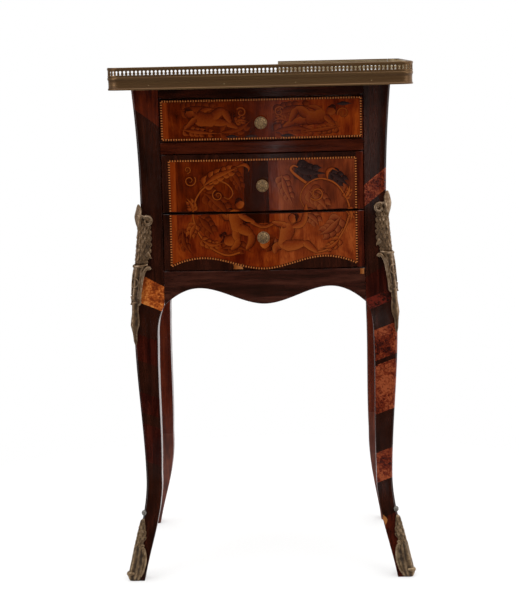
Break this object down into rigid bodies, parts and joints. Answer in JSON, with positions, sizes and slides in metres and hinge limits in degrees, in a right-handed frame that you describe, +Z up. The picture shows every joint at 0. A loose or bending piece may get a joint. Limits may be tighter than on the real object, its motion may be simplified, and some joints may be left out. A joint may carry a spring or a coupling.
{
  "type": "bedside table with drawers",
  "caption": "Small bedside table on slender cabriole legs, with marquetry drawer fronts, brass corner mounts and sabots, and a pierced brass gallery along the front and right of the top.",
  "frame": {"origin": "on the floor, at the centre of the object's footprint", "axes": "+Z up; the drawers open towards -Y; +X is the right-hand side as seen from the front"},
  "size_m": [0.4146, 0.3126, 0.72],
  "materials": {
    "mahogany_case": "dark mahogany and rosewood veneer, French polished",
    "marquetry_front": "marquetry veneer, French polished",
    "lining_wood": "planed oak, unpolished",
    "brass_mount": "cast and chased, aged",
    "steel_nail": "darkened"
  },
  "bodies": {
    "carcass": {"leg_front_left": "mahogany_case", "leg_front_right": "mahogany_case", "leg_rear_left": "mahogany_case", "leg_rear_right": "mahogany_case", "side_panel_left": "mahogany_case", "side_panel_right": "mahogany_case", "top_rail": "mahogany_case", "middle_rail": "mahogany_case", "front_apron": "mahogany_case", "top_board": "mahogany_case", "back_panel": "lining_wood", "back_rail": "lining_wood", "bottom_board": "lining_wood", "upper_runner_left": "lining_wood", "upper_runner_right": "lining_wood", "middle_runner_left": "lining_wood", "middle_runner_right": "lining_wood", "lower_runner_left": "lining_wood", "lower_runner_right": "lining_wood", "kicker_left": "lining_wood", "kicker_right": "lining_wood", "edge_band": "brass_mount", "gallery_front": "brass_mount", "gallery_right": "brass_mount", "gallery_rear": "brass_mount", "corner_mount_left": "brass_mount", "corner_mount_right": "brass_mount", "sabot_front_left": "brass_mount", "sabot_front_right": "brass_mount", "sabot_rear_left": "brass_mount", "sabot_rear_right": "brass_mount", "sabot_nail_front_left": "steel_nail", "sabot_nail_front_right": "steel_nail", "sabot_nail_rear_left": "steel_nail", "sabot_nail_rear_right": "steel_nail"},
    "upper_drawer": {"upper_drawer_front": "marquetry_front", "upper_drawer_side_left": "lining_wood", "upper_drawer_side_right": "lining_wood", "upper_drawer_back": "lining_wood", "upper_drawer_bottom": "lining_wood", "upper_drawer_knob": "brass_mount", "upper_drawer_knob_nut": "brass_mount"},
    "middle_drawer": {"middle_drawer_front": "marquetry_front", "middle_drawer_side_left": "lining_wood", "middle_drawer_side_right": "lining_wood", "middle_drawer_back": "lining_wood", "middle_drawer_bottom": "lining_wood", "middle_drawer_knob": "brass_mount", "middle_drawer_knob_nut": "brass_mount"},
    "lower_drawer": {"lower_drawer_front": "marquetry_front", "lower_drawer_side_left": "lining_wood", "lower_drawer_side_right": "lining_wood", "lower_drawer_back": "lining_wood", "lower_drawer_bottom": "lining_wood", "lower_drawer_knob": "brass_mount", "lower_drawer_knob_nut": "brass_mount"}
  },
  "joints": [
    {"name": "upper_drawer_slide", "type": "slide", "parent": "carcass", "child": "upper_drawer", "axis": [0, -1, 0], "range_m": [0, 0.15]},
    {"name": "middle_drawer_slide", "type": "slide", "parent": "carcass", "child": "middle_drawer", "axis": [0, -1, 0], "range_m": [0, 0.15]},
    {"name": "lower_drawer_slide", "type": "slide", "parent": "carcass", "child": "lower_drawer", "axis": [0, -1, 0], "range_m": [0, 0.15]}
  ]
}
